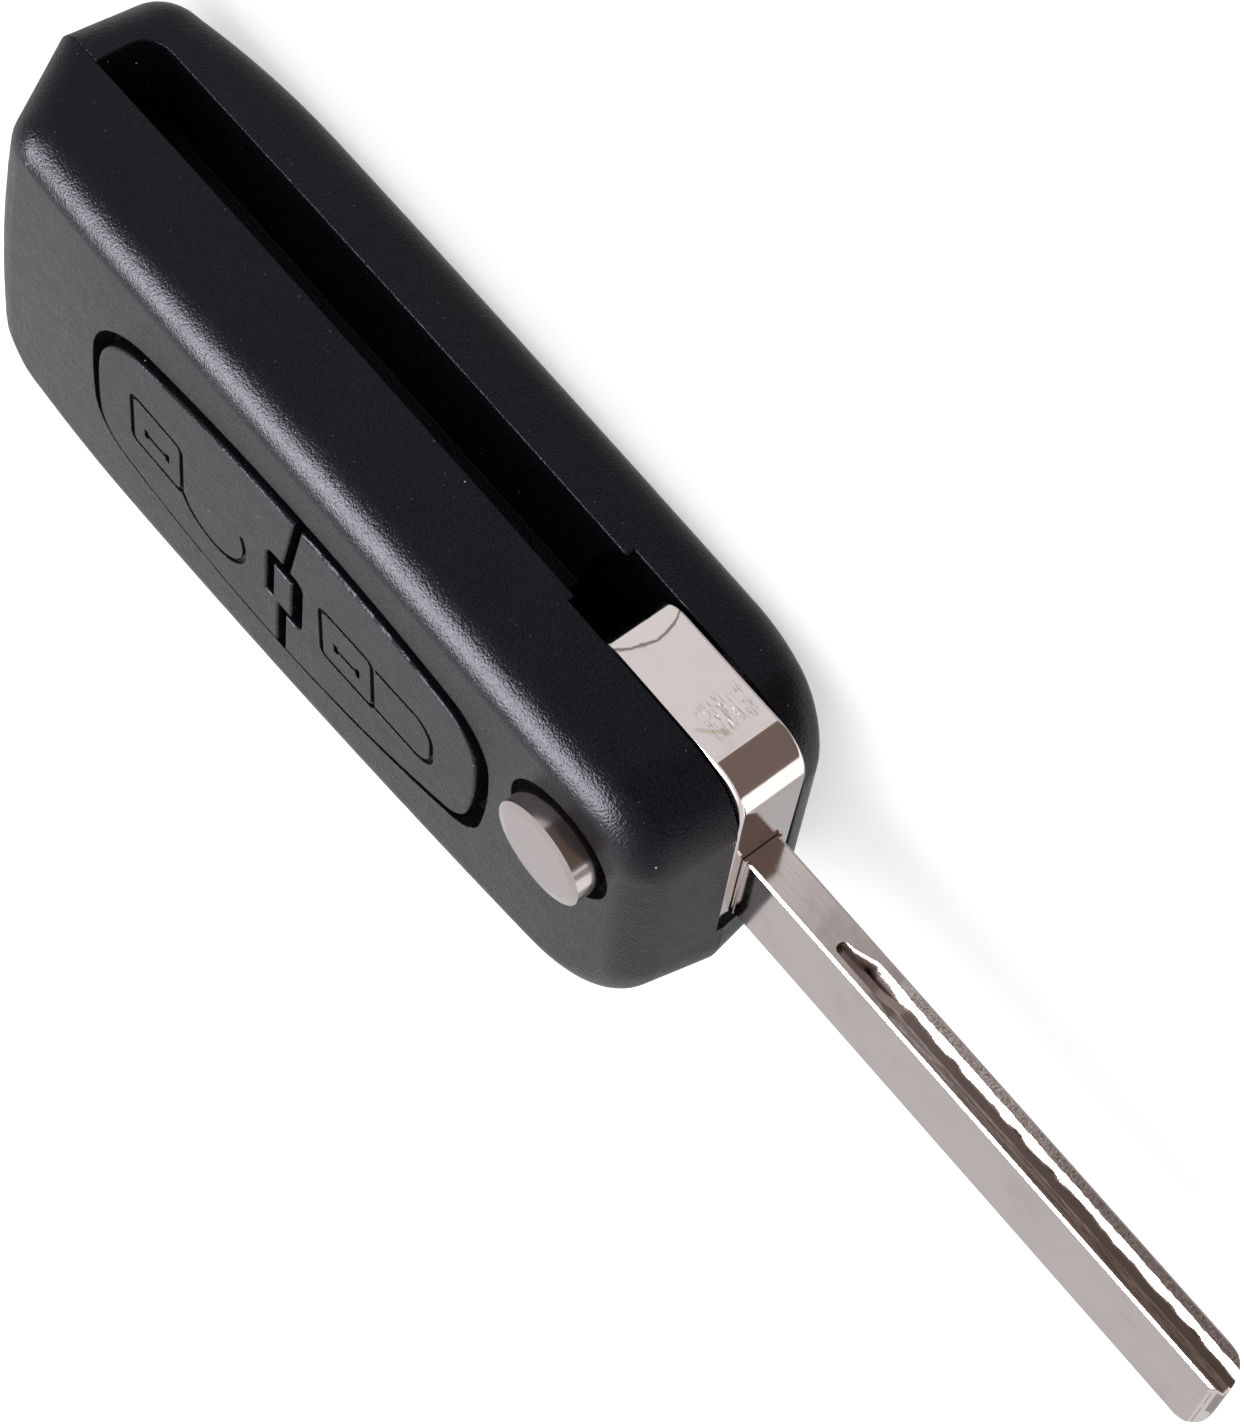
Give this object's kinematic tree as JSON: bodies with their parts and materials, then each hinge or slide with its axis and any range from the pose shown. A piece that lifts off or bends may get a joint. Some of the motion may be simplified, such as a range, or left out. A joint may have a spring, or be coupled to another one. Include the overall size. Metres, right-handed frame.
{
  "type": "folding car key shell",
  "caption": "Black folding key fob shell with a plated blade swung out, a round release knob and two padlock buttons in an oval pad.",
  "frame": {"origin": "under the middle of the key's bounding box, on the plane that the rear face rests on", "axes": "+X along the open blade towards its tip, +Y towards the side with the blade slot, +Z out of the button face"},
  "size_m": [0.1196, 0.0364, 0.02],
  "materials": {
    "case_plastic": "fine-grained satin black moulding",
    "cap_plastic": "satin black, slightly softer than the case",
    "mat_rubber": "plain black rubber",
    "frame_plastic": "plain moulding",
    "contact_metal": "stamped strip",
    "knob_plating": "satin nickel",
    "spring_steel": "drawn wire",
    "head_plating": "polished nickel over a casting",
    "blade_plating": "satin nickel with bright bevels",
    "pin_steel": "plain",
    "screw_steel": "blackened",
    "insert_brass": "plain"
  },
  "bodies": {
    "fob": {"front_shell": "case_plastic", "rear_shell": "case_plastic", "button_mat": "mat_rubber", "board_frame": "frame_plastic", "contact_plus": "contact_metal", "contact_minus": "contact_metal", "flip_spring": "spring_steel", "spring_seat": "frame_plastic", "case_screw": "screw_steel", "screw_insert": "insert_brass"},
    "blade": {"blade_head": "head_plating", "key_blade": "blade_plating", "blade_pin": "pin_steel"},
    "release": {"release_button": "knob_plating"},
    "unlock": {"unlock_button": "cap_plastic"},
    "lock": {"lock_button": "cap_plastic"}
  },
  "joints": [
    {"name": "blade_hinge", "type": "hinge", "parent": "fob", "child": "blade", "pos_m": [0.00686, 0.00818, 0.00815], "axis": [0, 0, 1], "range_deg": [0, 180], "stiffness_Nm_per_rad": 0.004, "springref_deg": -22.92},
    {"name": "release_press", "type": "slide", "parent": "fob", "child": "release", "axis": [0, 0, -1], "range_m": [0, 0.0016], "stiffness_N_per_m": 1000, "springref_m": -0.0015},
    {"name": "unlock_press", "type": "slide", "parent": "fob", "child": "unlock", "axis": [0, 0, -1], "range_m": [0, 0.0004], "stiffness_N_per_m": 2500, "springref_m": -0.0004},
    {"name": "lock_press", "type": "slide", "parent": "fob", "child": "lock", "axis": [0, 0, -1], "range_m": [0, 0.0004], "stiffness_N_per_m": 2500, "springref_m": -0.0004}
  ]
}
